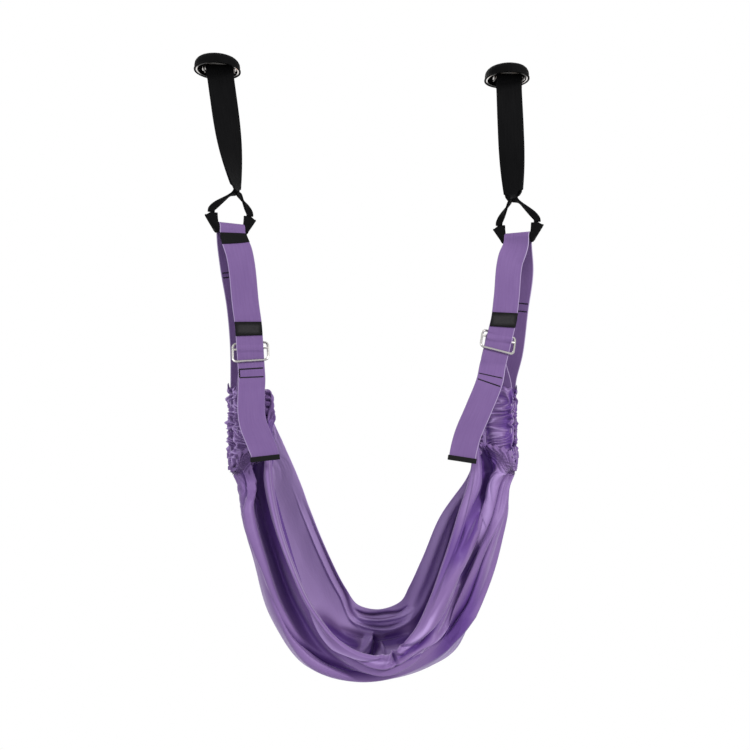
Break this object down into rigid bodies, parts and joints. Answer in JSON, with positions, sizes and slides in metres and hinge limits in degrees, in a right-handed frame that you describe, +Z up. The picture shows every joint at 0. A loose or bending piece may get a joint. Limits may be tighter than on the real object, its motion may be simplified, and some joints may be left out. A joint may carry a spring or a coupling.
{
  "type": "yoga inversion strap",
  "caption": "Cloth yoga sling hung by adjustable webbing loops, carry bars and twisted slings from round ceiling anchors.",
  "frame": {"origin": "on the ceiling plane, midway between the centres of the two anchors", "axes": "+Z up, +X from the left anchor to the right one as seen from the front, +Y away from the viewer"},
  "size_m": [0.666, 0.2544, 1.1822],
  "materials": {
    "black_metal": "satin black powder coat",
    "bright_metal": "bright zinc and chrome plate",
    "bar_metal": "satin dark grey",
    "nickel": "nickel plated wire",
    "black_webbing": "woven polyester webbing",
    "black_plastic": "moulded, fine grain",
    "black_leather": "pebbled synthetic leather",
    "purple_webbing": "fine woven webbing, matte",
    "purple_cloth": "satin nylon tricot"
  },
  "bodies": {
    "ceiling_anchors": {"left_anchor_cup": "black_metal", "left_anchor_liner": "bright_metal", "left_pin_bracket": "bright_metal", "left_bracket_rivet_a": "bright_metal", "left_bracket_rivet_b": "bright_metal", "left_cross_pin": "bright_metal", "left_pin_ring": "bright_metal", "right_anchor_cup": "black_metal", "right_anchor_liner": "bright_metal", "right_pin_bracket": "bright_metal", "right_bracket_rivet_a": "bright_metal", "right_bracket_rivet_b": "bright_metal", "right_cross_pin": "bright_metal", "right_pin_ring": "bright_metal"},
    "hanging_sling": {"left_sling_strap": "black_webbing", "left_sleeve_outer": "black_webbing", "left_sleeve_inner": "black_webbing", "left_strap": "purple_webbing", "left_lower_strap": "purple_webbing", "left_patch": "black_leather", "left_end_cap": "black_plastic", "left_casing": "purple_cloth", "right_sling_strap": "black_webbing", "right_sleeve_outer": "black_webbing", "right_sleeve_inner": "black_webbing", "right_strap": "purple_webbing", "right_lower_strap": "purple_webbing", "right_patch": "black_leather", "right_end_cap": "black_plastic", "right_casing": "purple_cloth", "left_label": "black_webbing", "hammock": "purple_cloth"},
    "left_bar": {"left_carry_bar": "bar_metal", "left_bar_plug_outer": "black_plastic", "left_bar_plug_inner": "black_plastic"},
    "left_adjuster": {"left_adjuster": "nickel", "left_fixed_end": "purple_webbing"},
    "right_bar": {"right_carry_bar": "bar_metal", "right_bar_plug_outer": "black_plastic", "right_bar_plug_inner": "black_plastic"},
    "right_adjuster": {"right_adjuster": "nickel", "right_fixed_end": "purple_webbing"}
  },
  "joints": [
    {"name": "swing", "type": "hinge", "parent": "ceiling_anchors", "child": "hanging_sling", "pos_m": [0, 0, -0.016], "axis": [1, 0, 0], "range_deg": [-50, 50]},
    {"name": "left_bar_spin", "type": "hinge", "parent": "hanging_sling", "child": "left_bar", "pos_m": [-0.253, 0, -0.3193], "axis": [0.891, 0.454, 0], "continuous": true},
    {"name": "right_bar_spin", "type": "hinge", "parent": "hanging_sling", "child": "right_bar", "pos_m": [0.3, 0, -0.3288], "axis": [0.8387, -0.5446, 0], "continuous": true},
    {"name": "left_adjuster_slide", "type": "slide", "parent": "hanging_sling", "child": "left_adjuster", "axis": [0.0628, 0, -0.998], "range_m": [-0.028, 0.016], "deforming": ["left_lower_strap"]},
    {"name": "right_adjuster_slide", "type": "slide", "parent": "hanging_sling", "child": "right_adjuster", "axis": [-0.2419, 0, -0.9703], "range_m": [-0.022, 0.016], "deforming": ["right_lower_strap"]}
  ]
}
